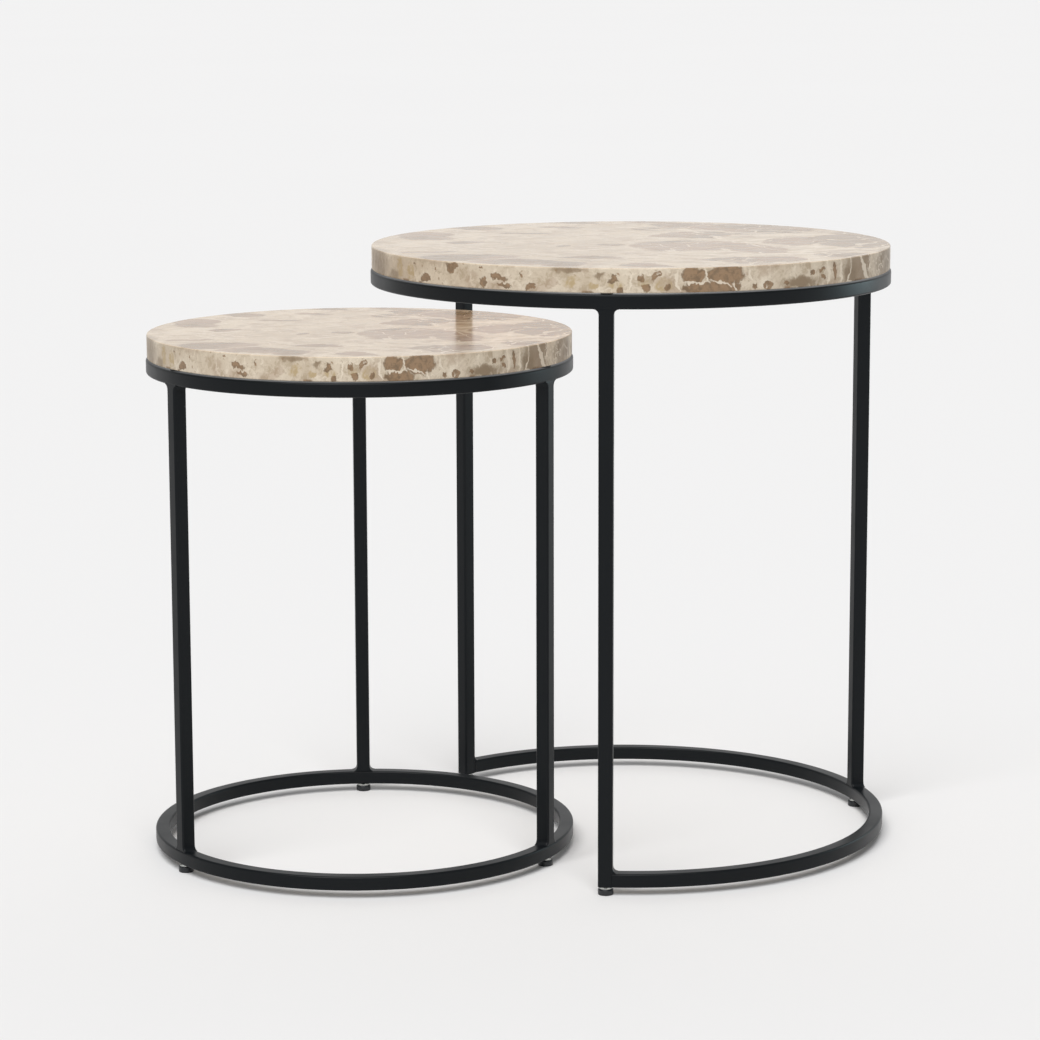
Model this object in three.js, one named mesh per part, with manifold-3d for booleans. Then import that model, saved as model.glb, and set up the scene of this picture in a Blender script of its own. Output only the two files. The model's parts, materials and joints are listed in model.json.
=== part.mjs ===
// Two round nesting tables, each a stone slab on a frame of square steel tube. The large table's base is
// an arc that is open on one side, and the small table slides in through that opening.
// Millimetres, +Z up. The origin is on the floor, under the middle of the pair's bounding box.

import * as THREE from 'three';
import { mergeVertices } from 'three/addons/utils/BufferGeometryUtils.js';
import Module from 'manifold-3d';

const wasm = await Module();
wasm.setup();

// ---------------------------------------------------------------- driving dimensions

const TUBE_SIDE = 12; // square tube, outside
const TUBE_WALL = 1.2;
const TUBE_CORNER = 1.2; // eased corner of the tube
const TUBE_CLEAR = 7; // the base tube's underside above the floor
const VENT_RADIUS = 2.5; // holes that join the hollows of the rings and the legs
const WELD_FILLET = 4; // leg of the concave weld between a leg and a ring
const WELD_ROOT = 0.4; // how far a weld reaches into the leg's wall

const SLAB_THICKNESS = 20;
const SLAB_INSET = 1; // the slab's edge stands this far behind the ring's outer face
const SLAB_ARRIS = 1;
const BUMPER_HEIGHT = 1;
const BUMPER_RADIUS = 5;

const PAD_RADIUS = 6.5;
const PAD_HEIGHT = 5;
const PAD_CHAMFER = 0.8;
const SOCKET_RADIUS = 3;
const SOCKET_DEPTH = 2.4;
const COLLAR_ACROSS_FLATS = 10;
const COLLAR_HEIGHT = 1.7;
const STUD_RADIUS = 3; // M6
const STUD_ABOVE_COLLAR = 8.3;
const INSERT_RADIUS = 4.2; // round insert in the wall of a base ring
const INSERT_HEIGHT = 8;
const PLUG_HEIGHT = 12; // square insert in the end of a leg

const LARGE_DIAMETER = 450;
const LARGE_HEIGHT = 520;
const OPENING_DIRECTION = 198.5; // degrees from +X, the side that the small table comes in from
const HALF_OPENING = 65.5; // degrees from there to the legs on either side

const SMALL_DIAMETER = 365;
const SMALL_HEIGHT = 450;
const SMALL_OFFSET = [-232, -52]; // the small table's centre from the large one's
const SMALL_REAR_LEG = 94; // degrees from +X
const THIRD_OF_TURN = 120;

const CLEARANCE = 0.3; // between pieces that sit beside or inside each other
const THREAD_CLEARANCE = 0.15;
const OVERRUN = 1; // how far a cut runs past what it cuts, and a join into what it joins

const RING_SEGMENTS = 60;
const SLAB_SEGMENTS = 72;
const ROUND_SEGMENTS = 24;
const SMALL_ROUND_SEGMENTS = 16;
const WELD_SEGMENTS = 4;
const HEXAGON = 6;

// ---------------------------------------------------------------- worked-out sizes and places

const TUBE_BORE = TUBE_SIDE - 2 * TUBE_WALL;
const BASE_TOP = TUBE_CLEAR + TUBE_SIDE;
const SOCKET_FLOOR = PAD_HEIGHT - SOCKET_DEPTH;
const COLLAR_TOP = PAD_HEIGHT + COLLAR_HEIGHT;
const STUD_TOP = COLLAR_TOP + STUD_ABOVE_COLLAR;

// The pair's box runs from the small table's left and front to the large table's right and back.
const LARGE_RADIUS = LARGE_DIAMETER / 2;
const SMALL_RADIUS = SMALL_DIAMETER / 2;
const LARGE_CENTRE = [
  (SMALL_RADIUS - SMALL_OFFSET[0] - LARGE_RADIUS) / 2,
  (SMALL_RADIUS - SMALL_OFFSET[1] - LARGE_RADIUS) / 2,
];
const SMALL_CENTRE = [LARGE_CENTRE[0] + SMALL_OFFSET[0], LARGE_CENTRE[1] + SMALL_OFFSET[1]];

// A leg with arcSide 0 stands on the base tube. A leg at an end of the arc runs down past it, and the
// arc butts against the side that arcSide gives: 1 is anticlockwise of the leg, -1 clockwise.
const largeTable = {
  name: 'large',
  centre: LARGE_CENTRE,
  radius: LARGE_RADIUS,
  height: LARGE_HEIGHT,
  openBase: true,
  legs: [
    { name: 'front', angle: OPENING_DIRECTION + HALF_OPENING, arcSide: 1 },
    { name: 'right', angle: OPENING_DIRECTION + 180, arcSide: 0 },
    { name: 'left', angle: OPENING_DIRECTION - HALF_OPENING, arcSide: -1 },
  ],
};

const smallTable = {
  name: 'small',
  centre: SMALL_CENTRE,
  radius: SMALL_RADIUS,
  height: SMALL_HEIGHT,
  openBase: false,
  legs: [
    { name: 'rear', angle: SMALL_REAR_LEG, arcSide: 0 },
    { name: 'left', angle: SMALL_REAR_LEG + THIRD_OF_TURN, arcSide: 0 },
    { name: 'right', angle: SMALL_REAR_LEG + 2 * THIRD_OF_TURN, arcSide: 0 },
  ],
};

// ---------------------------------------------------------------- materials

function finish(color, roughness, metalness) {
  return new THREE.MeshStandardMaterial({ color, roughness, metalness });
}

const stone = () => finish(0xdccfc0, 0.25, 0);
const blackPowderCoat = () => finish(0x1d2023, 0.45, 0.2);
const blackRubber = () => finish(0x1a1a19, 0.8, 0);
const blackPlastic = () => finish(0x16181b, 0.3, 0);
const zinc = () => finish(0xc9ccca, 0.3, 1);

// ---------------------------------------------------------------- solids

// Turns a closed geometry into a solid, with its faces pointing outwards.
function solidOf(geometry) {
  geometry.deleteAttribute('normal');
  geometry.deleteAttribute('uv');
  const merged = mergeVertices(geometry, 1e-4);
  const points = merged.attributes.position.array;
  const corners = merged.index.array;
  const triangles = [];
  let volume = 0;
  for (let i = 0; i < corners.length; i += 3) {
    const [a, b, c] = [corners[i], corners[i + 1], corners[i + 2]];
    if (a === b || b === c || c === a) continue;
    triangles.push([a, b, c]);
    const [pa, pb, pc] = [a, b, c].map((n) => new THREE.Vector3().fromArray(points, 3 * n));
    volume += pa.dot(pb.cross(pc));
  }
  const outward = triangles.map(([a, b, c]) => (volume < 0 ? [a, c, b] : [a, b, c]));
  return new wasm.Manifold(new wasm.Mesh({
    numProp: 3,
    vertProperties: new Float32Array(points),
    triVerts: new Uint32Array(outward.flat()),
  }));
}

function meshOf(name, solid, material) {
  const { vertProperties, triVerts } = solid.getMesh();
  const geometry = new THREE.BufferGeometry();
  geometry.setAttribute('position', new THREE.BufferAttribute(vertProperties, 3));
  geometry.setIndex(new THREE.BufferAttribute(triVerts, 1));
  geometry.computeVertexNormals();
  const mesh = new THREE.Mesh(geometry, material);
  mesh.name = name;
  return mesh;
}

// Revolves a profile of [radius, height] points about an upright axis through the given place.
function revolved(profile, segments, [x, y] = [0, 0]) {
  const points = profile.map(([radius, height]) => new THREE.Vector2(radius, height));
  const geometry = new THREE.LatheGeometry(points, segments);
  return solidOf(geometry.rotateX(Math.PI / 2).translate(x, y, 0));
}

function roundBar(radius, bottom, top, segments, place) {
  return revolved([[0, bottom], [radius, bottom], [radius, top], [0, top]], segments, place);
}

function extruded(shape, bottom, top, segments = 1) {
  const settings = { depth: top - bottom, bevelEnabled: false, curveSegments: segments };
  return solidOf(new THREE.ExtrudeGeometry(shape, settings).translate(0, 0, bottom));
}

function squareCorners(side) {
  const half = side / 2;
  return [[-half, -half], [half, -half], [half, half], [-half, half]];
}

// A square whose corners are cut off by the given amount.
function easedSquareCorners(side, corner) {
  const half = side / 2;
  const near = half - corner;
  return [
    [-near, -half], [near, -half], [half, -near], [half, near],
    [near, half], [-near, half], [-half, near], [-half, -near],
  ];
}

function shapeOf(corners) {
  return new THREE.Shape(corners.map(([x, y]) => new THREE.Vector2(x, y)));
}

// ---------------------------------------------------------------- slab and bumpers

function slab(table) {
  const radius = table.radius - SLAB_INSET;
  const top = table.height;
  const bottom = top - SLAB_THICKNESS;
  const profile = [
    [0, bottom],
    [radius - SLAB_ARRIS, bottom],
    [radius, bottom + SLAB_ARRIS],
    [radius, top - SLAB_ARRIS],
    [radius - SLAB_ARRIS, top],
    [0, top],
  ];
  return meshOf(`${table.name}_marble_top`, revolved(profile, SLAB_SEGMENTS), stone());
}

// A round pad between the slab and the ring, over a leg.
function bumper(table, leg) {
  const top = table.height - SLAB_THICKNESS;
  const solid = roundBar(BUMPER_RADIUS, top - BUMPER_HEIGHT, top, SMALL_ROUND_SEGMENTS);
  return meshOf(`${table.name}_bumper_${leg.name}`, solid, blackRubber());
}

// ---------------------------------------------------------------- frame

// The middle of a leg's section, from the table's centre.
function legPlace(table, leg) {
  const angle = THREE.MathUtils.degToRad(leg.angle);
  const reach = table.radius - TUBE_SIDE / 2;
  return [reach * Math.cos(angle), reach * Math.sin(angle)];
}

function standsOnBase(leg) {
  return leg.arcSide === 0;
}

function topRingBottom(table) {
  return table.height - SLAB_THICKNESS - BUMPER_HEIGHT - TUBE_SIDE;
}

// A ring of hollow square tube whose outer face is at the given radius.
function tubeRing(radius, bottom) {
  const centre = radius - TUBE_SIDE / 2;
  const level = bottom + TUBE_SIDE / 2;
  const ringOf = (corners) => {
    const profile = corners.map(([x, y]) => [centre + x, level + y]);
    return revolved([...profile, profile[0]], RING_SEGMENTS);
  };
  return ringOf(easedSquareCorners(TUBE_SIDE, TUBE_CORNER)).subtract(ringOf(squareCorners(TUBE_BORE)));
}

// Cuts an upright hole through a ring's tube wall at each leg. The wall's underside is at wallBottom.
function withHoles(ring, table, legs, radius, wallBottom) {
  const bottom = wallBottom - OVERRUN;
  const top = wallBottom + TUBE_WALL + OVERRUN;
  const cutHole = (cut, leg) => {
    const hole = roundBar(radius, bottom, top, SMALL_ROUND_SEGMENTS, legPlace(table, leg));
    return cut.subtract(hole);
  };
  return legs.reduce(cutHole, ring);
}

function topRing(table) {
  const bottom = topRingBottom(table);
  const ring = tubeRing(table.radius, bottom);
  const vented = withHoles(ring, table, table.legs, VENT_RADIUS, bottom);
  return meshOf(`${table.name}_top_ring`, vented, blackPowderCoat());
}

// The sector between the two end legs, widened so that the arc stops just short of both.
function openingSector(table) {
  const innerRadius = table.radius - TUBE_SIDE;
  const trim = Math.asin((TUBE_SIDE / 2 + CLEARANCE) / innerRadius);
  const from = THREE.MathUtils.degToRad(OPENING_DIRECTION - HALF_OPENING) - trim;
  const to = THREE.MathUtils.degToRad(OPENING_DIRECTION + HALF_OPENING) + trim;
  const reach = table.radius + TUBE_SIDE;
  const sector = new THREE.Shape();
  sector.moveTo(0, 0);
  sector.lineTo(reach * Math.cos(from), reach * Math.sin(from));
  sector.absarc(0, 0, reach, from, to, false);
  return extruded(sector, TUBE_CLEAR - OVERRUN, BASE_TOP + OVERRUN, ROUND_SEGMENTS);
}

function base(table) {
  const standing = table.legs.filter(standsOnBase);
  const ring = tubeRing(table.radius, TUBE_CLEAR);
  const vented = withHoles(ring, table, standing, VENT_RADIUS, BASE_TOP - TUBE_WALL);
  const seated = withHoles(vented, table, standing, INSERT_RADIUS + CLEARANCE, TUBE_CLEAR);
  if (table.openBase) {
    return meshOf(`${table.name}_base_arc`, seated.subtract(openingSector(table)), blackPowderCoat());
  }
  return meshOf(`${table.name}_base_ring`, seated, blackPowderCoat());
}

// A concave weld along one side of a leg, at the given level and rising (1) or hanging (-1) from it.
// The leg's sides face +Y (side 1) and -Y (side -1).
function weldFillet(side, level, direction) {
  const width = TUBE_SIDE - 2 * TUBE_CORNER;
  const section = new THREE.Shape();
  section.moveTo(-WELD_ROOT, 0);
  section.lineTo(WELD_FILLET, 0);
  section.absarc(WELD_FILLET, WELD_FILLET, WELD_FILLET, -Math.PI / 2, -Math.PI, true);
  section.lineTo(-WELD_ROOT, WELD_FILLET);
  const settings = { depth: width, bevelEnabled: false, curveSegments: WELD_SEGMENTS };
  const geometry = new THREE.ExtrudeGeometry(section, settings);
  const across = new THREE.Vector3(0, side, 0);
  const along = new THREE.Vector3(0, 0, direction);
  const through = new THREE.Vector3(1, 0, 0);
  geometry.applyMatrix4(new THREE.Matrix4().makeBasis(across, along, through));
  geometry.translate(-width / 2, (side * TUBE_SIDE) / 2, level);
  return solidOf(geometry);
}

function legTube(table, leg) {
  const top = topRingBottom(table);
  const bottom = standsOnBase(leg) ? BASE_TOP : TUBE_CLEAR;
  const bar = extruded(shapeOf(easedSquareCorners(TUBE_SIDE, TUBE_CORNER)), bottom, top);
  const bore = extruded(shapeOf(squareCorners(TUBE_BORE)), bottom - OVERRUN, top + OVERRUN);
  const sidesWithBase = standsOnBase(leg) ? [1, -1] : [leg.arcSide];
  const welds = [
    ...[1, -1].map((side) => weldFillet(side, top, -1)),
    ...sidesWithBase.map((side) => weldFillet(side, BASE_TOP, 1)),
  ];
  const solid = welds.reduce((tube, weld) => tube.add(weld), bar.subtract(bore));
  return meshOf(`${table.name}_leg_${leg.name}`, solid, blackPowderCoat());
}

// ---------------------------------------------------------------- levelling glides

// A flat round foot with a socket in its top.
function glidePad(table, leg) {
  const profile = [
    [0, 0],
    [PAD_RADIUS - PAD_CHAMFER, 0],
    [PAD_RADIUS, PAD_CHAMFER],
    [PAD_RADIUS, PAD_HEIGHT - PAD_CHAMFER],
    [PAD_RADIUS - PAD_CHAMFER, PAD_HEIGHT],
    [SOCKET_RADIUS, PAD_HEIGHT],
    [SOCKET_RADIUS, SOCKET_FLOOR],
    [0, SOCKET_FLOOR],
  ];
  return meshOf(`${table.name}_glide_pad_${leg.name}`, revolved(profile, ROUND_SEGMENTS), blackPlastic());
}

// The stud's round end turns in the pad's socket, and its hexagonal collar stands on the pad.
function glideStud(table, leg) {
  const pivotRadius = SOCKET_RADIUS - CLEARANCE;
  const pivotBottom = SOCKET_FLOOR + CLEARANCE;
  const pivot = roundBar(pivotRadius, pivotBottom, PAD_HEIGHT + OVERRUN, SMALL_ROUND_SEGMENTS);
  const collar = roundBar(COLLAR_ACROSS_FLATS / Math.sqrt(3), PAD_HEIGHT, COLLAR_TOP, HEXAGON);
  const shank = roundBar(STUD_RADIUS, COLLAR_TOP - OVERRUN, STUD_TOP, SMALL_ROUND_SEGMENTS);
  return meshOf(`${table.name}_glide_stud_${leg.name}`, collar.add(pivot).add(shank), zinc());
}

// The threaded insert that holds a stud: round in a base ring's wall, square in the end of a leg.
function threadedInsert(table, leg) {
  const top = TUBE_CLEAR + (standsOnBase(leg) ? INSERT_HEIGHT : PLUG_HEIGHT);
  const plugSide = TUBE_BORE - 2 * CLEARANCE;
  const body = standsOnBase(leg)
    ? roundBar(INSERT_RADIUS, TUBE_CLEAR, top, SMALL_ROUND_SEGMENTS)
    : extruded(shapeOf(squareCorners(plugSide)), TUBE_CLEAR, top);
  const threadRadius = STUD_RADIUS + THREAD_CLEARANCE;
  const thread = roundBar(threadRadius, TUBE_CLEAR - OVERRUN, top + OVERRUN, SMALL_ROUND_SEGMENTS);
  return meshOf(`${table.name}_insert_${leg.name}`, body.subtract(thread), zinc());
}

// ---------------------------------------------------------------- assembly

// A group at a leg's place on the ring, with its X axis pointing away from the table's centre.
function legStation(table, leg, pieces) {
  const station = new THREE.Group();
  station.position.set(...legPlace(table, leg), 0);
  station.rotation.z = THREE.MathUtils.degToRad(leg.angle);
  station.add(...pieces);
  return station;
}

function buildTable(table) {
  const group = new THREE.Group();
  group.position.set(...table.centre, 0);
  group.add(slab(table), topRing(table), base(table));
  table.legs.forEach((leg) => {
    group.add(legStation(table, leg, [
      legTube(table, leg),
      bumper(table, leg),
      glidePad(table, leg),
      glideStud(table, leg),
      threadedInsert(table, leg),
    ]));
  });
  return group;
}

const nestingTables = new THREE.Group();
nestingTables.add(buildTable(largeTable), buildTable(smallTable));

export default nestingTables;
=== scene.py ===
"""Looks for the nesting tables: stone slabs, black tube frames and levelling glides."""

import json
import math

import bpy
from mathutils import Matrix, Vector

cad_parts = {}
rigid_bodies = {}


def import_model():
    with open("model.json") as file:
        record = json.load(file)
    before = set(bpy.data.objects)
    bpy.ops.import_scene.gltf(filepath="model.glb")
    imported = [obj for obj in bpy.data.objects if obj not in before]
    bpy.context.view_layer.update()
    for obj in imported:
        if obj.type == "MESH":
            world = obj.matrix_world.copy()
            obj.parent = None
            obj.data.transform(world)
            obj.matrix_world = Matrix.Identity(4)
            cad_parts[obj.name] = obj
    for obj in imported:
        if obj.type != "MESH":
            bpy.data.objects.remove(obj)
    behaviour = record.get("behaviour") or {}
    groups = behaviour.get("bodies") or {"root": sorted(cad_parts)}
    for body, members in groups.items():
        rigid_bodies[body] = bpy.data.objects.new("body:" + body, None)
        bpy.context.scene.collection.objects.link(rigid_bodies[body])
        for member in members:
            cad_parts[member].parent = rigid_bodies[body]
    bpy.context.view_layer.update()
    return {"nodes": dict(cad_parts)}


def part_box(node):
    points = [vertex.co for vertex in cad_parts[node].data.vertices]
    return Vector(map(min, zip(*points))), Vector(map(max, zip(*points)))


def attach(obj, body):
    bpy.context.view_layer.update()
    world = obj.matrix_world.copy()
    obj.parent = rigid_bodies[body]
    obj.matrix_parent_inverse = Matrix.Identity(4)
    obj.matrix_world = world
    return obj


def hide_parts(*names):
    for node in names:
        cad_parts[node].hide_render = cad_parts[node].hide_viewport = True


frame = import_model()

MM = 0.001

# ---------------------------------------------------------------- sizes

TABLES = ("large", "small")
BASE_NODES = {"large": "large_base_arc", "small": "small_base_ring"}

RING_STEPS = 288
SLAB_STEPS = 288
ROUND_STEPS = 64
STUD_STEPS = 72
PLUG_SIDE_STEPS = 10        # enough points along a plug's sides for its bore to be round
TUBE_CORNER = 1.7 * MM
TUBE_WALL = 1.2 * MM
WELD_REACH = 4.4 * MM       # how far a weld runs along the ring
WELD_RISE = 5.0 * MM        # how far it runs along the leg
WELD_STEPS = 8
WELD_SINK = 1.6 * MM        # how far the top of a leg runs into the ring
WELD_PROUD = 0.03 * MM      # how far the ground weld stands proud of the ring's outer face
SLAB_ARRIS = 0.9 * MM
SOCKET_RADIUS = 3.0 * MM
SOCKET_DEPTH = 2.4 * MM
SEAT_CLEARANCE = 0.3 * MM   # around an insert in the wall of a base tube
THREAD_PITCH = 1.0 * MM
THREAD_DEPTH = 0.5 * MM
COLLAR_HEIGHT = 1.7 * MM
COLLAR_FLATS = 10.0 * MM
STUD_RADIUS = 3.0 * MM
THREAD_CLEARANCE = 0.15 * MM

# the studio: levels as shares of white, strengths in watts (a square metre for the key light), metres
AMBIENT = 0.26
BACKDROP = 0.54
KEY_STRENGTH = 2.7
KEY_SPREAD = 45             # degrees
KEY_PLACE = (-0.45, -1.80, 3.10)
SIDE_STRENGTH = 10.0
SIDE_COLOUR = (0.66, 0.93, 1.0)
SIDE_PLACE = (2.35, 0.90, 0.56)

RING_LOW, RING_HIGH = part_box("large_top_ring")
TUBE_SIDE = RING_HIGH.z - RING_LOW.z


def middle(node):
    low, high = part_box(node)
    return (low + high) / 2


def legs_of(table):
    prefix = f"{table}_leg_"
    return sorted(name[len(prefix):] for name in frame["nodes"] if name.startswith(prefix))


def table_centre(table):
    centre = middle(f"{table}_top_ring")
    return Vector((centre.x, centre.y, 0))


def ring_radius(table):
    """The radius of the rings' outer face."""
    low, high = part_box(f"{table}_top_ring")
    return (high.x - low.x) / 2


def leg_angle(table, leg):
    offset = middle(f"{table}_glide_pad_{leg}") - table_centre(table)
    return math.atan2(offset.y, offset.x)


def leg_place(table, leg):
    """The middle of the leg's section, at floor level."""
    angle = leg_angle(table, leg)
    reach = ring_radius(table) - TUBE_SIDE / 2
    return table_centre(table) + Vector((reach * math.cos(angle), reach * math.sin(angle), 0))


# ---------------------------------------------------------------- mesh making

def new_piece(node, points, faces, material, body, place, turn=0.0):
    """The piece that stands for a CAD node. Its points are relative to place and turned about Z."""
    mesh = bpy.data.meshes.new(f"{node}_look")
    mesh.from_pydata([tuple(point) for point in points], [], faces)
    mesh.validate()
    mesh.materials.append(material)
    piece = bpy.data.objects.new(f"{node}_look", mesh)
    bpy.context.scene.collection.objects.link(piece)
    piece.matrix_world = Matrix.Translation(place) @ Matrix.Rotation(turn, 4, "Z")
    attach(piece, body)
    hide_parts(node)
    return piece


def shade(piece, sharp_degrees=40):
    """Smooth shading that stays flat on the flat faces."""
    mesh = piece.data
    mesh.polygons.foreach_set("use_smooth", [True] * len(mesh.polygons))
    mesh.set_sharp_from_angle(angle=math.radians(sharp_degrees))
    weighted = piece.modifiers.new("weighted_normals", "WEIGHTED_NORMAL")
    weighted.keep_sharp = True


def loft(sections, closed=False):
    """Quads between sections, which are closed loops of equal length. An open loft is capped."""
    count = len(sections[0])
    points = [point for section in sections for point in section]
    faces = []
    spans = len(sections) if closed else len(sections) - 1
    for i in range(spans):
        here = i * count
        there = ((i + 1) % len(sections)) * count
        for j in range(count):
            k = (j + 1) % count
            faces.append((here + j, here + k, there + k, there + j))
    if not closed:
        faces.append(tuple(reversed(range(count))))
        last = (len(sections) - 1) * count
        faces.append(tuple(range(last, last + count)))
    return points, faces


def circle(radius, height, steps=ROUND_STEPS):
    turns = [math.tau * i / steps for i in range(steps)]
    return [Vector((radius * math.cos(turn), radius * math.sin(turn), height)) for turn in turns]


def turned(profile, steps=ROUND_STEPS, closed=False):
    """A turned body from a profile of (radius, height) that goes up on the outside."""
    return loft([circle(radius, height, steps) for radius, height in profile], closed)


def arc(centre, radius, start, end, steps=4):
    """Points on a circle's arc between two angles in degrees, both ends included."""
    turns = [math.radians(start + (end - start) * i / steps) for i in range(steps + 1)]
    return [(centre[0] + radius * math.cos(t), centre[1] + radius * math.sin(t)) for t in turns]


def rounded_rectangle(x_low, x_high, y_low, y_high, corner):
    """A rectangle with rounded corners, anticlockwise from its lower right corner."""
    return (
        arc((x_high - corner, y_low + corner), corner, -90, 0)
        + arc((x_high - corner, y_high - corner), corner, 0, 90)
        + arc((x_low + corner, y_high - corner), corner, 90, 180)
        + arc((x_low + corner, y_low + corner), corner, 180, 270)
    )


# ---------------------------------------------------------------- node material helpers

class Nodes:
    """Short calls for building a node tree."""

    def __init__(self, tree):
        self.tree = tree

    def add(self, kind, **settings):
        node = self.tree.nodes.new(kind)
        for name, value in settings.items():
            setattr(node, name, value)
        return node

    def link(self, source, target):
        self.tree.links.new(source, target)

    def feed(self, socket, value):
        if isinstance(value, bpy.types.NodeSocket):
            self.link(value, socket)
        elif value is not None:
            socket.default_value = value

    def math(self, operation, *values, clamp=False):
        node = self.add("ShaderNodeMath", operation=operation, use_clamp=clamp)
        for socket, value in zip(node.inputs, values):
            self.feed(socket, value)
        return node.outputs[0]

    def product(self, *values):
        result = values[0]
        for value in values[1:]:
            result = self.math("MULTIPLY", result, value)
        return result

    def vector_math(self, operation, a, b=None):
        node = self.add("ShaderNodeVectorMath", operation=operation)
        self.feed(node.inputs[0], a)
        self.feed(node.inputs["Scale"] if operation == "SCALE" else node.inputs[1], b)
        return node.outputs["Value" if operation == "LENGTH" else "Vector"]

    def parts(self, vector):
        node = self.add("ShaderNodeSeparateXYZ")
        self.link(vector, node.inputs[0])
        return node.outputs

    def noise(self, vector, scale, detail=3.0, roughness=0.5):
        node = self.add("ShaderNodeTexNoise")
        self.feed(node.inputs["Vector"], vector)
        node.inputs["Scale"].default_value = scale
        node.inputs["Detail"].default_value = detail
        node.inputs["Roughness"].default_value = roughness
        return node

    def grain(self, vector, scale, detail=3.0, roughness=0.5):
        return self.noise(vector, scale, detail, roughness).outputs["Fac"]

    def voronoi(self, vector, scale, feature="F1"):
        node = self.add("ShaderNodeTexVoronoi", feature=feature)
        self.feed(node.inputs["Vector"], vector)
        node.inputs["Scale"].default_value = scale
        return node

    def step(self, value, low, high, out_low=0.0, out_high=1.0):
        """A smooth step as value goes from low to high, in either direction."""
        node = self.add("ShaderNodeMapRange", interpolation_type="SMOOTHSTEP")
        self.feed(node.inputs["Value"], value)
        node.inputs["From Min"].default_value = low
        node.inputs["From Max"].default_value = high
        node.inputs["To Min"].default_value = out_low
        node.inputs["To Max"].default_value = out_high
        return node.outputs["Result"]

    def mix(self, factor, a, b):
        """a where factor is 0 and b where it is 1."""
        node = self.add("ShaderNodeMix", data_type="RGBA")
        self.feed(node.inputs[0], factor)
        self.feed(node.inputs[6], a)
        self.feed(node.inputs[7], b)
        return node.outputs[2]

    def bump(self, height, strength, distance):
        node = self.add("ShaderNodeBump")
        node.inputs["Strength"].default_value = strength
        node.inputs["Distance"].default_value = distance
        self.feed(node.inputs["Height"], height)
        return node.outputs["Normal"]

    def warp(self, vector, scale, amount, upward=1.0, detail=2.0):
        """The vector pushed about by noise, with a share of the push upward."""
        wobble = self.noise(vector, scale, detail).outputs["Color"]
        centred = self.vector_math("SUBTRACT", wobble, (0.5, 0.5, 0.5))
        push = self.vector_math("MULTIPLY", centred, (amount, amount, amount * upward))
        return self.vector_math("ADD", vector, push)

    def distance(self, vector, bodies):
        """How far a point is from the nearest ellipsoid: 1 on its surface, less inside, and at most 2.
        Each body is (place, turn, half sizes)."""
        nearest = None
        for place, turn, size in bodies:
            local = self.add("ShaderNodeMapping", vector_type="TEXTURE")
            self.link(vector, local.inputs["Vector"])
            local.inputs["Location"].default_value = place
            local.inputs["Rotation"].default_value = turn
            local.inputs["Scale"].default_value = [2 * length for length in size]
            ball = self.add("ShaderNodeTexGradient", gradient_type="SPHERICAL")
            self.link(local.outputs["Vector"], ball.inputs["Vector"])
            depth = ball.outputs["Fac"]
            nearest = depth if nearest is None else self.math("MAXIMUM", nearest, depth)
        return self.math("MULTIPLY_ADD", nearest, -2.0, 2.0)


def new_material(name):
    material = bpy.data.materials.new(name)
    material.use_nodes = True
    shader = material.node_tree.nodes["Principled BSDF"]
    return material, Nodes(material.node_tree), shader


def rgb(red, green, blue):
    return (red, green, blue, 1.0)


# ---------------------------------------------------------------- the stone

CREAM = rgb(0.565, 0.462, 0.340)
PALE_CREAM = rgb(0.670, 0.570, 0.440)
SAND = rgb(0.440, 0.345, 0.235)
TAUPE = rgb(0.265, 0.192, 0.120)
TOP_TAUPE = rgb(0.300, 0.216, 0.138)
TOP_PINK = rgb(0.400, 0.285, 0.198)
BROWN = rgb(0.300, 0.188, 0.104)
DARK_BROWN = rgb(0.150, 0.098, 0.056)
OCHRE = rgb(0.465, 0.345, 0.190)
VEIN = rgb(0.780, 0.680, 0.545)
# Tints of the upper face and of the edge: the upper face is warmer for its polish and lighter as painted
# light, and the edge a little darker as painted shade.
POLISHED_AND_LIT_TINT = rgb(1.110, 1.050, 0.985)
HONED_AND_SHADED_TINT = rgb(0.950, 0.960, 0.975)

STONE_RADIUS = 224 * MM     # the slab that the sizes below are given for; the smaller slab is scaled
FRAGMENT_DEPTH = 8 * MM
STONE_SHEEN = 0.24
COAT_SHEEN = 0.15

# Patches of the upper face: place to the right and back, half width, half depth, and turn in degrees.
# Lengths are shares of the slab's radius from its centre.
TOP_PATCHES = [
    (-0.62, -0.57, 0.19, 0.13, 8),
    (-0.43, -0.75, 0.16, 0.08, -8),
    (-0.80, 0.32, 0.12, 0.17, 15),
    (-0.62, 0.66, 0.12, 0.07, 0),
    (-0.63, 0.05, 0.10, 0.07, 0),
    (-0.78, -0.33, 0.07, 0.03, 0),
    (-0.40, 0.44, 0.10, 0.035, 0),
    (-0.26, -0.82, 0.11, 0.07, 5),
    (-0.17, -0.58, 0.13, 0.035, -10),
    (0.06, -0.87, 0.10, 0.065, -8),
    (-0.09, -0.09, 0.07, 0.04, 0),
    (0.11, -0.30, 0.03, 0.025, 0),
    (-0.29, -0.10, 0.025, 0.03, 0),
    (0.09, 0.64, 0.09, 0.06, 0),
    (-0.25, 0.72, 0.10, 0.05, 0),
    (0.10, 0.93, 0.12, 0.05, 0),
    (-0.22, 0.93, 0.10, 0.05, 0),
]

# The broad bodies of its right and back, in the same terms.
BROAD_PATCHES = [
    (0.25, -0.10, 0.25, 0.22, -20),
    (0.26, 0.34, 0.16, 0.13, 0),
    (0.46, -0.68, 0.19, 0.12, 12),
    (0.50, -0.28, 0.12, 0.14, 0),
    (0.50, 0.62, 0.24, 0.26, 0),
    (0.66, 0.08, 0.14, 0.18, 0),
    (0.87, 0.10, 0.13, 0.34, 0),
    (0.78, -0.48, 0.10, 0.10, 40),
    (0.24, 0.80, 0.15, 0.12, 0),
]

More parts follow.
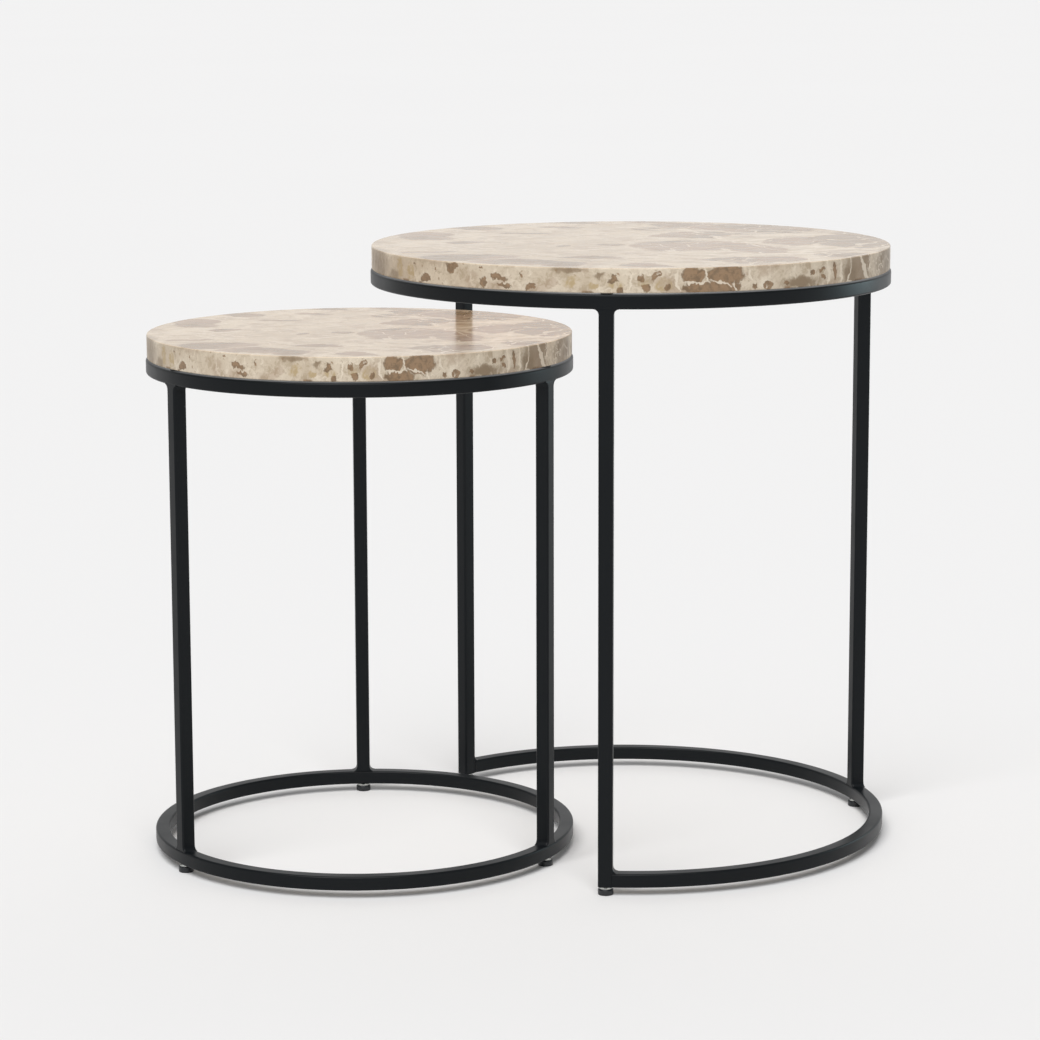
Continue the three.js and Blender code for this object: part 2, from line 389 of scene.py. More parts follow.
# Cream bands that cross the broad bodies, in the same terms.
TOP_BANDS = [
    (0.34, 0.52, 0.40, 0.028, -28),
    (0.62, 0.34, 0.26, 0.018, 12),
    (0.42, 0.12, 0.30, 0.016, 24),
    (0.70, -0.24, 0.30, 0.014, 74),
    (0.56, -0.48, 0.26, 0.012, 20),
    (0.20, -0.42, 0.30, 0.012, -12),
    (0.88, -0.10, 0.20, 0.012, 60),
]

# Fragments of the edge: angle from the front in degrees, positive to the right; height above the slab's
# underside, half width and half height in millimetres; and tilt in degrees.
BROWN_FRAGMENTS = [
    (-50, 4.6, 7.0, 2.8, -6),
    (-46.5, 13.6, 1.3, 1.7, 0),
    (-54, 15.6, 1.0, 1.0, 0),
    (-29.6, 11.0, 7.6, 2.7, 6),
    (-28.2, 4.4, 6.2, 2.3, 0),
    (-33.8, 17.4, 1.4, 0.9, 0),
    (-24.4, 14.2, 1.0, 1.8, 0),
    (-4.6, 11.4, 3.4, 4.2, 24),
    (-3.2, 3.4, 3.2, 2.8, 0),
    (1.4, 12.4, 2.4, 3.2, 10),
    (4.2, 14.2, 4.6, 2.6, -35),
    (2.2, 3.6, 3.4, 3.4, 0),
    (6.6, 4.2, 3.2, 2.4, 0),
    (12.0, 13.6, 10.0, 6.6, -10),
    (13.4, 3.8, 14.0, 4.6, 0),
    (19.0, 12.8, 16.0, 8.4, 0),
    (28.6, 4.8, 4.6, 3.8, 0),
    (25.4, 2.4, 2.6, 1.6, 0),
    (33.6, 3.6, 2.6, 1.6, 0),
    (40.5, 12.4, 3.4, 2.3, 0),
    (43.4, 12.2, 3.4, 1.8, 0),
    (43.8, 6.4, 2.2, 1.6, 0),
    (47.3, 11.0, 2.6, 8.0, -8),
]

LARGE_ONLY_FRAGMENTS = [
    (-41.5, 16.0, 6.2, 3.4, -15),
    (-33.2, 5.4, 4.2, 3.8, 20),
    (-22.2, 4.6, 4.0, 2.8, -20),
    (19.2, 5.0, 13.0, 6.0, 8),
]

OCHRE_FRAGMENTS = [
    (-60, 11.0, 5.0, 8.0, 0),
    (-55.5, 8.0, 5.0, 7.0, 0),
    (-13.6, 8.4, 7.0, 4.0, -20),
    (-8.4, 5.0, 5.0, 3.0, 0),
    (-4.0, 6.2, 6.0, 4.0, 0),
    (6.0, 6.4, 6.4, 5.0, 0),
    (1.6, 8.0, 4.0, 4.6, 0),
]

# Taupe bodies of the edge, in the same terms. The two broad ones at -74 and 74 degrees are painted shade that
# darkens the slab's left and right ends.
TAUPE_AND_END_SHADE_FRAGMENTS = [
    (-14.0, 18.4, 13.0, 2.4, 0),
    (-7.6, 14.4, 4.4, 2.6, 0),
    # painted shade at the slab's left end
    (-74, 10.0, 34.0, 14.0, 0),
    (-63, 3.0, 12.0, 5.0, 0),
    (53, 8.0, 10.0, 13.0, 0),
    # painted shade at the slab's right end
    (74, 10.0, 30.0, 13.0, 0),
    (38, 4.0, 22.0, 4.4, 0),
]

PALE_STREAKS = [
    (15.0, 13.5, 1.1, 8.0, -14),
    (12.6, 8.2, 11.0, 0.95, 0),
    (18.2, 6.8, 9.5, 0.95, 10),
    (21.2, 4.0, 1.0, 4.6, -22),
    (24.4, 12.0, 1.0, 7.0, -20),
    (45.4, 10.0, 1.3, 12.0, 0),
    (49.6, 11.0, 1.4, 12.0, -5),
    (59.4, 10.0, 2.0, 16.0, -36),
    (68.0, 12.6, 1.4, 1.4, 0),
    (-0.8, 10.0, 1.0, 9.0, 10),
    (8.6, 10.0, 1.2, 9.0, -12),
]

# Places on the edge where a net of fine cream veins shows, in the same terms.
VEINED_AREAS = [
    (2.0, 17.6, 26.0, 4.0, 0),
    (28.6, 6.0, 8.0, 5.0, 0),
    (66.0, 10.0, 22.0, 12.0, 0),
]


def edge_bodies(fragments):
    bodies = []
    for degrees, height, half_width, half_height, tilt in fragments:
        turn = math.radians(degrees)
        place = (math.sin(turn), -math.cos(turn), height * MM / STONE_RADIUS)
        size = [half_width * MM, FRAGMENT_DEPTH, half_height * MM]
        bodies.append((place, (0, math.radians(tilt), turn), [length / STONE_RADIUS for length in size]))
    return bodies


def top_bodies(patches, top, depth):
    return [
        ((across, back, top), (0, 0, math.radians(degrees)), (half_width, half_depth, depth))
        for across, back, half_width, half_depth, degrees in patches
    ]


def lay(nodes, colour, distance, tint, soft, strength=1.0):
    """The tint laid over the colour inside the bodies that a distance is measured from."""
    inside = nodes.step(distance, 1 + soft, 1 - soft)
    return nodes.mix(nodes.math("MULTIPLY", inside, strength), colour, tint)


def stone_material(table, radius, thickness):
    material, nodes, shader = new_material(f"{table}_stone")
    scaling = nodes.add("ShaderNodeMapping")
    nodes.link(nodes.add("ShaderNodeTexCoord").outputs["Object"], scaling.inputs["Vector"])
    scaling.inputs["Scale"].default_value = (1 / radius, 1 / radius, 1 / STONE_RADIUS)
    place = scaling.outputs["Vector"]
    top = thickness / STONE_RADIUS
    across, back, up = nodes.parts(place)

    broad = nodes.warp(nodes.warp(place, 4.5, 0.20, 0.15), 19.0, 0.06, 0.3, 3.0)
    fine = nodes.warp(nodes.warp(place, 26.0, 0.038), 85.0, 0.022, 1.0, 4.0)

    # ground: cream, with slow clouds, small sandy bodies and fine grain
    clouds = nodes.grain(broad, 3.4, 5.0, 0.62)
    colour = nodes.mix(nodes.step(clouds, 0.36, 0.60), CREAM, PALE_CREAM)
    on_edge = nodes.step(up, top - 0.0001, top - 0.0030)
    texture = nodes.math("MULTIPLY_ADD", on_edge, 0.40, 0.60)
    mottle = nodes.grain(fine, 15.0, 7.0, 0.72)
    sandy = nodes.step(mottle, 0.49, 0.64, 0.0, 0.85)
    colour = nodes.mix(nodes.math("MULTIPLY", sandy, texture), colour, SAND)
    pale = nodes.step(mottle, 0.46, 0.34, 0.0, 0.75)
    colour = nodes.mix(nodes.math("MULTIPLY", pale, texture), colour, VEIN)
    crumbs = nodes.step(nodes.grain(fine, 70.0, 3.0, 0.6), 0.54, 0.68, 0.0, 0.55)
    colour = nodes.mix(nodes.math("MULTIPLY", crumbs, texture), colour, SAND)

    # faint bodies and a faint net of veins all over
    faint = nodes.step(nodes.grain(broad, 7.5, 6.0, 0.62), 0.525, 0.60, 0.0, 0.38)
    colour = nodes.mix(faint, colour, TOP_PINK)
    thin_net = nodes.voronoi(fine, 9.0, "DISTANCE_TO_EDGE").outputs["Distance"]
    thin_broken = nodes.step(nodes.grain(broad, 6.0, 3.0), 0.46, 0.60)
    colour = nodes.mix(nodes.product(nodes.step(thin_net, 0.040, 0.012), thin_broken, 0.45), colour, VEIN)

    # bodies of the upper face
    body_tone = nodes.mix(nodes.step(nodes.grain(broad, 5.0, 4.0), 0.42, 0.60), TOP_TAUPE, TOP_PINK)
    uneven = nodes.step(nodes.grain(broad, 9.0, 5.0, 0.6), 0.34, 0.62, 0.98, 0.80)
    broad_distance = nodes.distance(broad, top_bodies(BROAD_PATCHES, top, 0.30))
    top_distance = nodes.distance(broad, top_bodies(TOP_PATCHES, top, 0.035))
    colour = lay(nodes, colour, broad_distance, body_tone, 0.07, uneven)
    colour = lay(nodes, colour, top_distance, body_tone, 0.10, uneven)

    # taupe and ochre bodies of the edge; the broad taupe bodies at its left and right ends are painted shade
    taupe_and_end_shade_strength = nodes.step(nodes.grain(fine, 12.0, 5.0, 0.6), 0.38, 0.60, 0.95, 0.60)
    taupe_and_end_shade_distance = nodes.distance(fine, edge_bodies(TAUPE_AND_END_SHADE_FRAGMENTS))
    colour = lay(nodes, colour, taupe_and_end_shade_distance, TAUPE, 0.42, taupe_and_end_shade_strength)
    ochre_strength = nodes.step(nodes.grain(fine, 34.0, 4.0), 0.42, 0.58, 0.25, 0.9)
    ochre_distance = nodes.distance(fine, edge_bodies(OCHRE_FRAGMENTS))
    colour = lay(nodes, colour, ochre_distance, OCHRE, 0.30, ochre_strength)

    # brown fragments: those seen on the front, and scattered ones round the rest of the slab
    fragments = BROWN_FRAGMENTS + (LARGE_ONLY_FRAGMENTS if table == "large" else [])
    brown_grain = nodes.step(nodes.grain(fine, 48.0, 5.0, 0.65), 0.36, 0.60, 0.25, 1.0)
    brown_tone = nodes.mix(brown_grain, DARK_BROWN, BROWN)
    fragment_distance = nodes.distance(fine, edge_bodies(fragments))
    colour = lay(nodes, colour, fragment_distance, brown_tone, 0.09, 0.92)
    inside_rim = nodes.step(fragment_distance, 1.02, 0.86)
    rim = nodes.math("SUBTRACT", nodes.step(fragment_distance, 1.12, 1.00), inside_rim)
    colour = nodes.mix(nodes.math("MULTIPLY", rim, 0.45, clamp=True), colour, DARK_BROWN)

    cells = nodes.voronoi(nodes.warp(place, 11.0, 0.07, 1.0, 3.0), 13.0)
    chosen = nodes.step(nodes.parts(cells.outputs["Color"])[0], 0.70, 0.72)
    small_body = nodes.step(cells.outputs["Distance"], 0.40, 0.32)
    from_axis = nodes.vector_math("LENGTH", nodes.vector_math("MULTIPLY", place, (1, 1, 0)))
    rim_only = nodes.step(from_axis, 0.95, 0.985)
    underneath = nodes.step(up, 0.012, 0.004)
    rear_rim = nodes.math("MULTIPLY", nodes.step(back, -0.02, 0.12), rim_only)
    unseen = nodes.math("MAXIMUM", rear_rim, underneath)
    colour = nodes.mix(nodes.product(chosen, small_body, unseen, 0.85), colour, brown_tone)

    # specks
    dots = nodes.voronoi(fine, 46.0)
    dot_chosen = nodes.step(nodes.parts(dots.outputs["Color"])[1], 0.90, 0.92)
    dot = nodes.step(dots.outputs["Distance"], 0.26, 0.16)
    colour = nodes.mix(nodes.product(dot_chosen, dot, 0.6), colour, BROWN)

    # veins: bands over the broad bodies, streaks on the edge, and a fine net in places
    broken = nodes.step(nodes.grain(broad, 7.0, 3.0), 0.38, 0.52)
    band_distance = nodes.distance(broad, top_bodies(TOP_BANDS, top, 0.30))
    colour = lay(nodes, colour, band_distance, VEIN, 0.30, nodes.step(mottle, 0.35, 0.55, 0.9, 0.5))
    colour = lay(nodes, colour, nodes.distance(fine, edge_bodies(PALE_STREAKS)), VEIN, 0.25, 0.85)
    net = nodes.voronoi(broad, 6.5, "DISTANCE_TO_EDGE").outputs["Distance"]
    in_broad = nodes.step(broad_distance, 1.5, 1.1)
    colour = nodes.mix(nodes.product(nodes.step(net, 0.030, 0.010), in_broad, broken, 0.85), colour, VEIN)
    fine_net = nodes.voronoi(fine, 34.0, "DISTANCE_TO_EDGE").outputs["Distance"]
    in_area = nodes.step(nodes.distance(place, edge_bodies(VEINED_AREAS)), 1.1, 0.8)
    fine_broken = nodes.step(nodes.grain(fine, 26.0, 2.0), 0.42, 0.54)
    fine_line = nodes.step(fine_net, 0.075, 0.03)
    colour = nodes.mix(nodes.product(fine_line, in_area, fine_broken, 0.85), colour, VEIN)

    # the upper face is warmer than the honed edge for the deeper colour of its polish, and painted lighter
    # than it: the top is a lit copy of the stone's colour and the edge a shaded one
    polish_and_light_tint = nodes.mix(on_edge, POLISHED_AND_LIT_TINT, HONED_AND_SHADED_TINT)
    nodes.link(nodes.vector_math("MULTIPLY", colour, polish_and_light_tint), shader.inputs["Base Color"])
    polish = nodes.step(nodes.grain(fine, 20.0, 4.0), 0.35, 0.65, 0.13, 0.19)
    honed_edge = nodes.math("MULTIPLY_ADD", on_edge, 0.24, polish)
    roughness = nodes.math("MAXIMUM", honed_edge, nodes.math("MULTIPLY", underneath, 0.55))
    nodes.link(roughness, shader.inputs["Roughness"])
    shader.inputs["Specular IOR Level"].default_value = STONE_SHEEN
    nodes.link(nodes.bump(mottle, 0.04, 0.3 * MM), shader.inputs["Normal"])
    return material


# ---------------------------------------------------------------- the other materials

def powder_coat():
    material, nodes, shader = new_material("black_powder_coat_look")
    place = nodes.add("ShaderNodeTexCoord").outputs["Object"]
    peel = nodes.grain(place, 900.0, 2.0)
    wear = nodes.grain(place, 22.0, 4.0)
    colour = nodes.mix(wear, rgb(0.0052, 0.0066, 0.0078), rgb(0.0072, 0.0088, 0.0102))
    nodes.link(colour, shader.inputs["Base Color"])
    nodes.link(nodes.step(wear, 0.3, 0.7, 0.32, 0.40), shader.inputs["Roughness"])
    nodes.link(nodes.bump(peel, 0.10, 0.05 * MM), shader.inputs["Normal"])
    shader.inputs["Specular IOR Level"].default_value = COAT_SHEEN
    return material


def rubber():
    material, nodes, shader = new_material("black_rubber_look")
    place = nodes.add("ShaderNodeTexCoord").outputs["Object"]
    bloom = nodes.grain(place, 600.0, 4.0)
    colour = nodes.mix(bloom, rgb(0.010, 0.009, 0.008), rgb(0.022, 0.020, 0.018))
    nodes.link(colour, shader.inputs["Base Color"])
    nodes.link(nodes.step(bloom, 0.3, 0.7, 0.70, 0.86), shader.inputs["Roughness"])
    nodes.link(nodes.bump(bloom, 0.15, 0.05 * MM), shader.inputs["Normal"])
    return material


def plastic():
    material, nodes, shader = new_material("black_plastic_look")
    place = nodes.add("ShaderNodeTexCoord").outputs["Object"]
    moulded = nodes.grain(place, 350.0, 3.0)
    colour = nodes.mix(moulded, rgb(0.008, 0.010, 0.012), rgb(0.012, 0.014, 0.017))
    nodes.link(colour, shader.inputs["Base Color"])
    nodes.link(nodes.step(moulded, 0.3, 0.7, 0.26, 0.36), shader.inputs["Roughness"])
    nodes.link(nodes.bump(moulded, 0.08, 0.05 * MM), shader.inputs["Normal"])
    return material


def zinc():
    material, nodes, shader = new_material("zinc_plated_steel_look")
    place = nodes.add("ShaderNodeTexCoord").outputs["Object"]
    spangle = nodes.grain(place, 420.0, 4.0)
    colour = nodes.mix(spangle, rgb(0.44, 0.45, 0.44), rgb(0.62, 0.63, 0.60))
    nodes.link(colour, shader.inputs["Base Color"])
    nodes.link(nodes.step(spangle, 0.3, 0.7, 0.20, 0.34), shader.inputs["Roughness"])
    nodes.link(nodes.bump(spangle, 0.05, 0.03 * MM), shader.inputs["Normal"])
    shader.inputs["Metallic"].default_value = 1.0
    return material


# ---------------------------------------------------------------- slabs and bumpers

def build_slab(table):
    node = f"{table}_marble_top"
    low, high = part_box(node)
    radius = (high.x - low.x) / 2
    thickness = high.z - low.z
    inner = radius - SLAB_ARRIS
    profile = (
        arc((inner, SLAB_ARRIS), SLAB_ARRIS, -90, 0)
        + arc((inner, thickness - SLAB_ARRIS), SLAB_ARRIS, 0, 90)
    )
    points, faces = turned(profile, SLAB_STEPS)
    material = stone_material(table, radius, thickness)
    place = table_centre(table) + Vector((0, 0, low.z))
    shade(new_piece(node, points, faces, material, f"{table}_table", place))


def build_bumper(table, leg, material):
    node = f"{table}_bumper_{leg}"
    low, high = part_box(node)
    height = high.z - low.z
    # the node is a round disc, so its box is as wide as its diameter
    radius = (high.x - low.x) / 2
    edge = height * 0.35
    profile = (
        arc((radius - edge, edge), edge, -90, 0)
        + arc((radius - edge, height - edge), edge, 0, 90)
    )
    points, faces = turned(profile)
    place = leg_place(table, leg) + Vector((0, 0, low.z))
    shade(new_piece(node, points, faces, material, f"{table}_table", place))


# ---------------------------------------------------------------- rings

def tube_section(radius, turn):
    """The rounded square of a ring's tube, standing at an angle about the table's axis."""
    outline = rounded_rectangle(radius - TUBE_SIDE, radius, 0, TUBE_SIDE, TUBE_CORNER)
    return [Vector((reach * math.cos(turn), reach * math.sin(turn), height)) for reach, height in outline]


def full_ring(radius):
    return loft([tube_section(radius, -math.tau * i / RING_STEPS) for i in range(RING_STEPS)], closed=True)


def ring_arc(radius, start, end):
    steps = round(RING_STEPS * (end - start) / math.tau)
    return loft([tube_section(radius, end - (end - start) * i / steps) for i in range(steps + 1)])


def cut_seats(piece, table, legs):
    """Pockets in the underside of a base tube, one for each insert."""
    for leg in legs:
        low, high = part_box(f"{table}_insert_{leg}")
        radius = (high.x - low.x) / 2 + SEAT_CLEARANCE
        depth = high.z - low.z + SEAT_CLEARANCE
        points, faces = turned([(radius, -depth), (radius, depth)])
        mesh = bpy.data.meshes.new("seat")
        mesh.from_pydata([tuple(point) for point in points], [], faces)
        cutter = bpy.data.objects.new("seat", mesh)
        bpy.context.scene.collection.objects.link(cutter)
        cutter.matrix_world = Matrix.Translation(leg_place(table, leg) + Vector((0, 0, low.z)))
        cut = piece.modifiers.new("seat", "BOOLEAN")
        cut.operation = "DIFFERENCE"
        cut.solver = "EXACT"
        cut.object = cutter
        bpy.context.view_layer.update()
        shaped = bpy.data.meshes.new_from_object(piece.evaluated_get(bpy.context.evaluated_depsgraph_get()))
        piece.modifiers.clear()
        piece.data = shaped
        bpy.data.objects.remove(cutter)


def build_rings(table, material):
    centre = table_centre(table)
    radius = ring_radius(table)
    body = f"{table}_table"

    node = f"{table}_top_ring"
    points, faces = full_ring(radius)
    place = centre + Vector((0, 0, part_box(node)[0].z))
    shade(new_piece(node, points, faces, material, body, place))

    node = BASE_NODES[table]
    place = centre + Vector((0, 0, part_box(node)[0].z))
    if table == "large":
        # the arc's ends run a little way into the legs on either side of the opening
        half_leg = math.asin(TUBE_SIDE / 2 / (radius - TUBE_SIDE / 2)) * 0.9
        start = leg_angle(table, "front") + half_leg
        end = leg_angle(table, "left") - half_leg
        points, faces = ring_arc(radius, start, end)
    else:
        points, faces = full_ring(radius)
    piece = new_piece(node, points, faces, material, body, place)
    cut_seats(piece, table, [leg for leg in legs_of(table) if stands_on_base(table, leg)])
    shade(piece)


# ---------------------------------------------------------------- legs

def stands_on_base(table, leg):
    """Whether a leg stands on the base tube, as against running down past the end of it."""
    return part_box(f"{table}_leg_{leg}")[0].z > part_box(BASE_NODES[table])[0].z + TUBE_SIDE / 2


def leg_section(radius, height, wider_left=0.0, wider_right=0.0, inset=0.0, corner=TUBE_CORNER):
    """A leg's section, bent to the ring's curve. X points away from the table's axis."""
    half = TUBE_SIDE / 2 - inset
    outline = rounded_rectangle(-half, half, -half - wider_right, half + wider_left, corner)
    reach = radius - TUBE_SIDE / 2
    return [
        Vector(((reach + x) * math.cos(y / reach) - reach, (reach + x) * math.sin(y / reach), height))
        for x, y in outline
    ]


def weld_steps():
    """Pairs of (distance from the ring, extra width) along a concave weld, from the ring outwards."""
    turns = [math.pi / 2 * (1 - i / WELD_STEPS) for i in range(WELD_STEPS + 1)]
    return [(WELD_RISE * (1 - math.sin(turn)), WELD_REACH * (1 - math.cos(turn))) for turn in turns]


def build_leg(table, leg, material):
    node = f"{table}_leg_{leg}"
    radius = ring_radius(table)
    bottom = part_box(node)[0].z
    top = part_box(f"{table}_top_ring")[0].z
    base_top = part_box(BASE_NODES[table])[1].z
    standing = stands_on_base(table, leg)
    # a leg at an end of the arc is welded to it on one side only
    left = 1.0 if standing or leg == "front" else 0.0
    right = 1.0 if standing or leg == "left" else 0.0

    sections = []
    if not standing:
        sections += [
            leg_section(radius, bottom, inset=0.5 * MM, corner=TUBE_CORNER - 0.4 * MM),
            leg_section(radius, bottom + 0.15 * MM, inset=0.15 * MM),
            leg_section(radius, bottom + 0.5 * MM),
            leg_section(radius, base_top),
        ]
    for distance, extra in weld_steps():
        sections.append(leg_section(radius, base_top + distance, extra * left, extra * right))
    for distance, extra in reversed(weld_steps()):
        sections.append(leg_section(radius, top - distance, extra, extra, inset=-WELD_PROUD))
    sections.append(leg_section(radius, top + WELD_SINK, WELD_REACH, WELD_REACH, inset=-WELD_PROUD))
    sections.append(leg_section(radius, top + WELD_SINK + 0.2 * MM, WELD_REACH, WELD_REACH, inset=0.4 * MM))

    bore_levels = [top + WELD_SINK / 2, bottom]
    bores = [leg_section(radius, level, inset=TUBE_WALL, corner=0.4 * MM) for level in bore_levels]
    points, faces = loft(sections + bores, closed=True)
    body = f"{table}_table"
    place = leg_place(table, leg)
    shade(new_piece(node, points, faces, material, body, place, leg_angle(table, leg)))


# ---------------------------------------------------------------- levelling glides

def build_pad(table, leg, material):
    node = f"{table}_glide_pad_{leg}"
    low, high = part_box(node)
    radius = (high.x - low.x) / 2
    height = high.z - low.z
    edge = 0.9 * MM
    profile = (
        arc((radius - edge, edge), edge, -90, 0)
        + arc((radius - edge, height - edge), edge, 0, 90)
        + [
            (SOCKET_RADIUS + 0.2 * MM, height),
            (SOCKET_RADIUS, height - 0.2 * MM),
            (SOCKET_RADIUS, height - SOCKET_DEPTH),
        ]
    )
    points, faces = turned(profile)
    place = leg_place(table, leg) + Vector((0, 0, low.z))
    shade(new_piece(node, points, faces, material, f"{table}_{leg}_pad", place))


def stud_section(height, reach_at):
    turns = [math.tau * i / STUD_STEPS for i in range(STUD_STEPS)]
    return [Vector((reach_at(t) * math.cos(t), reach_at(t) * math.sin(t), height)) for t in turns]


def hexagon_reach(turn, limit):
    """The reach of a hexagon of the collar's size, no further than a limit."""
    side = math.tau / 6
    from_flat = (turn + side / 2) % side - side / 2
    return min(COLLAR_FLATS / 2 / math.cos(from_flat), limit)


def thread_reach(turn, height, depth):
    """The reach of a 60 degree thread that climbs one pitch a turn."""
    phase = (height / THREAD_PITCH - turn / math.tau) % 1.0
    ridge = abs(2 * phase - 1)
    return STUD_RADIUS - depth * min(1.0, 1.25 * (1 - ridge))


def build_stud(table, leg, material):
    node = f"{table}_glide_stud_{leg}"
    low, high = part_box(node)
    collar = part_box(f"{table}_glide_pad_{leg}")[1].z
    pivot = SOCKET_RADIUS - SEAT_CLEARANCE
    corner = COLLAR_FLATS / math.sqrt(3)
    ease = 0.35 * MM
    collar_top = collar + COLLAR_HEIGHT
    sections = [
        stud_section(low.z, lambda t: pivot - ease),
        stud_section(low.z + ease, lambda t: pivot),
        stud_section(collar, lambda t: pivot),
        stud_section(collar, lambda t: hexagon_reach(t, corner - 2 * ease)),
        stud_section(collar + ease, lambda t: hexagon_reach(t, corner - ease / 2)),
        stud_section(collar_top - ease, lambda t: hexagon_reach(t, corner - ease / 2)),
        stud_section(collar_top, lambda t: hexagon_reach(t, corner - 2 * ease)),
        stud_section(collar_top, lambda t: STUD_RADIUS - THREAD_DEPTH),
    ]
    length = high.z - collar_top
    steps = round(length / THREAD_PITCH * 10)
    for i in range(1, steps):
        level = collar_top + length * i / steps
        run_out = min(1.0, (high.z - level) / THREAD_PITCH)
        ridge = THREAD_DEPTH * (1 - run_out) * 0.8
        sections.append(stud_section(level, lambda t: thread_reach(t, level, THREAD_DEPTH) - ridge))
    sections.append(stud_section(high.z, lambda t: STUD_RADIUS - 1.6 * THREAD_DEPTH))
    points, faces = loft(sections)
    body = f"{table}_{leg}_stud"
    piece = new_piece(node, points, faces, material, body, leg_place(table, leg))
    shade(piece, 50)


def with_side_points(outline, steps):
    """An outline of four rounded corners, with each straight side between them split into equal steps."""
    per_corner = len(outline) // 4
    points = []
    for i, (x, y) in enumerate(outline):
        points.append((x, y))
        if i % per_corner == per_corner - 1:
            next_x, next_y = outline[(i + 1) % len(outline)]
            points += [
                (x + (next_x - x) * k / steps, y + (next_y - y) * k / steps)
                for k in range(1, steps)
            ]
    return points


def build_insert(table, leg, material):
    node = f"{table}_insert_{leg}"
    low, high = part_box(node)
    height = high.z - low.z
    bore = STUD_RADIUS + THREAD_CLEARANCE
    ease = 0.3 * MM
    if stands_on_base(table, leg):
        outside = (high.x - low.x) / 2
        outer = [(outside - ease, 0), (outside, ease), (outside, height - ease), (outside - ease, height)]
        inner = [(bore + ease, height), (bore, height - ease), (bore, ease), (bore + ease, 0)]
        points, faces = turned(outer + inner, closed=True)
    else:
        half = TUBE_SIDE / 2 - TUBE_WALL - SEAT_CLEARANCE

        def square(inset, level):
            side = half - inset
            outline = rounded_rectangle(-side, side, -side, side, 0.6 * MM)
            return [Vector((x, y, level)) for x, y in with_side_points(outline, PLUG_SIDE_STEPS)]

        def round_bore(reach, level):
            turns = [math.atan2(point.y, point.x) for point in square(0, level)]
            return [Vector((reach * math.cos(turn), reach * math.sin(turn), level)) for turn in turns]

        sections = [
            square(ease, 0), square(0, ease), square(0, height - ease), square(ease, height),
            round_bore(bore + ease, height), round_bore(bore, height - ease),
            round_bore(bore, ease), round_bore(bore + ease, 0),
        ]
        points, faces = loft(sections, closed=True)
    place = leg_place(table, leg) + Vector((0, 0, low.z))
    body = f"{table}_table"
    piece = new_piece(node, points, faces, material, body, place, leg_angle(table, leg))
    shade(piece)


# ---------------------------------------------------------------- the pair

COAT = powder_coat()
RUBBER = rubber()
PLASTIC = plastic()
ZINC = zinc()

for table in TABLES:
    build_slab(table)
    build_rings(table, COAT)
    for leg in legs_of(table):
        build_leg(table, leg, COAT)
        build_bumper(table, leg, RUBBER)
        build_pad(table, leg, PLASTIC)
        build_stud(table, leg, ZINC)
        build_insert(table, leg, ZINC)


# ---------------------------------------------------------------- floor, light and camera

FLOOR_RADIUS = 60.0
FLOOR_STEPS = 96
PALE = 0.885


def build_floor():
    points = [tuple(point) for point in circle(FLOOR_RADIUS, 0, FLOOR_STEPS)]
    mesh = bpy.data.meshes.new("floor")
    mesh.from_pydata(points, [], [tuple(range(FLOOR_STEPS))])
    material, nodes, shader = new_material("floor")
    tone = nodes.grain(nodes.add("ShaderNodeTexCoord").outputs["Object"], 0.4, 2.0)
    colour = nodes.mix(tone, rgb(0.826, 0.823, 0.823), rgb(0.836, 0.833, 0.833))
    nodes.link(colour, shader.inputs["Base Color"])
    shader.inputs["Roughness"].default_value = 0.9
    shader.inputs["Specular IOR Level"].default_value = 0.0
    mesh.materials.append(material)
    floor = bpy.data.objects.new("floor", mesh)
    bpy.context.scene.collection.objects.link(floor)


def build_world():
    """A soft white studio, brighter low down behind the tables, which is what their polished tops mirror."""
    world = bpy.data.worlds.new("studio")
    bpy.context.scene.world = world
    world.use_nodes = True
    nodes = Nodes(world.node_tree)
    background = world.node_tree.nodes["Background"]
    direction = nodes.add("ShaderNodeTexCoord").outputs["Generated"]
    toward_back = nodes.add("ShaderNodeVectorMath", operation="DOT_PRODUCT")
    nodes.link(direction, toward_back.inputs[0])
    toward_back.inputs[1].default_value = Vector((0.0, 1.0, 0.08)).normalized()
    backdrop = nodes.step(toward_back.outputs["Value"], 0.20, 0.90, 0.0, BACKDROP)
    shown = nodes.add("ShaderNodeLightPath").outputs["Is Camera Ray"]
    nodes.link(nodes.mix(shown, rgb(1.0, 1.0, 1.0), rgb(PALE, PALE, PALE)), background.inputs["Color"])
    by_ray = nodes.add("ShaderNodeMix", data_type="FLOAT")
    nodes.link(shown, by_ray.inputs[0])
    nodes.link(nodes.math("ADD", backdrop, AMBIENT), by_ray.inputs[2])
    by_ray.inputs[3].default_value = 1.0
    nodes.link(by_ray.outputs[0], background.inputs["Strength"])


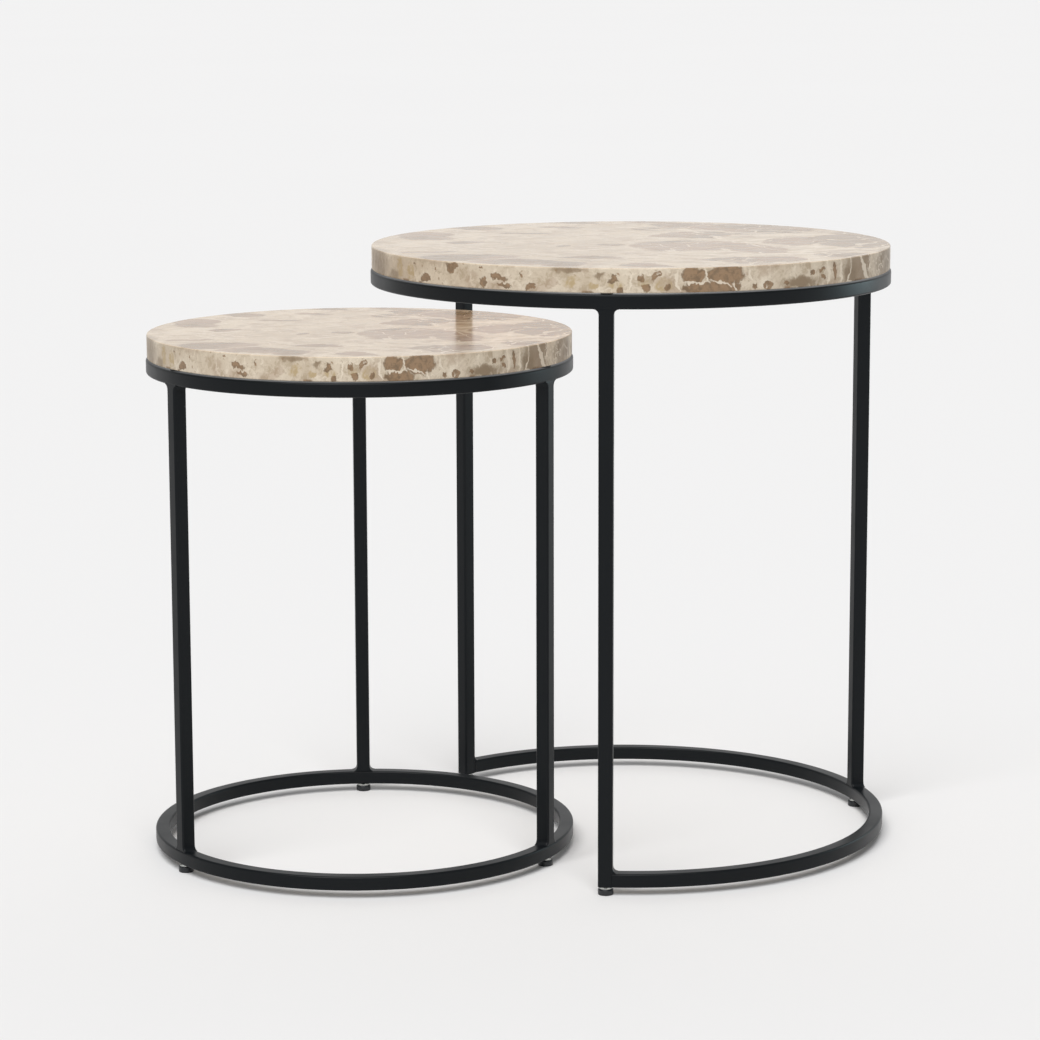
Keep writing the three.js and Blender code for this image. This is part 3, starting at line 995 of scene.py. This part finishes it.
def aimed_light(name, kind, place, target, energy, colour):
    data = bpy.data.lights.new(name, kind)
    data.energy = energy
    data.color = colour
    light = bpy.data.objects.new(name, data)
    bpy.context.scene.collection.objects.link(light)
    light.location = place
    light.rotation_euler = (Vector(target) - light.location).to_track_quat("-Z", "Y").to_euler()
    return light


def light_group(name, pieces):
    group = bpy.data.collections.new(name)
    for piece in pieces:
        group.objects.link(piece)
    return group


def build_key_light(slabs_and_rings):
    """A broad soft light above the viewer.

    The slabs and top rings neither shade what is under them from it nor show in the polished stone.
    """
    key = aimed_light("key_light", "SUN", KEY_PLACE, (0, 0, 0.4), KEY_STRENGTH, (1, 1, 1))
    key.data.angle = math.radians(KEY_SPREAD)
    group = light_group("not_shading", slabs_and_rings)
    key.light_linking.blocker_collection = group
    for entry in group.collection_objects:
        entry.light_linking.link_state = "EXCLUDE"
    for piece in slabs_and_rings:
        piece.visible_glossy = False


def build_side_light(frames):
    """A tall cool softbox at the right rear, which gives only the frames their highlight."""
    side = aimed_light("side_light", "AREA", SIDE_PLACE, middle("large_top_ring"), SIDE_STRENGTH, SIDE_COLOUR)
    side.data.shape = "RECTANGLE"
    side.data.size = 1.1
    side.data.size_y = 0.5
    side.visible_camera = False
    side.light_linking.receiver_collection = light_group("side_lit", frames)


def build_camera():
    data = bpy.data.cameras.new("camera")
    data.lens = 115.51
    data.sensor_width = 36.0
    camera = bpy.data.objects.new("camera", data)
    bpy.context.scene.collection.objects.link(camera)
    camera.location = (0.0413, -2.8839, 0.7832)
    pitch, yaw, roll = math.radians(-9.947), math.radians(0.848), math.radians(-0.160)
    level = Matrix.Rotation(yaw, 4, "Z") @ Matrix.Rotation(math.pi / 2 + pitch, 4, "X")
    camera.rotation_euler = (level @ Matrix.Rotation(roll, 4, "Z")).to_euler()
    bpy.context.scene.camera = camera


build_floor()
build_world()
looks = {piece.name: piece for piece in bpy.data.objects if piece.name.endswith("_look")}
build_key_light([looks[f"{table}_{part}_look"] for table in TABLES for part in ("marble_top", "top_ring")])
frame_parts = ("ring", "leg", "base")
build_side_light([piece for name, piece in looks.items() if any(part in name for part in frame_parts)])
build_camera()
bpy.context.scene.view_settings.view_transform = "Standard"
bpy.context.scene.view_settings.look = "None"

bpy.context.view_layer.update()
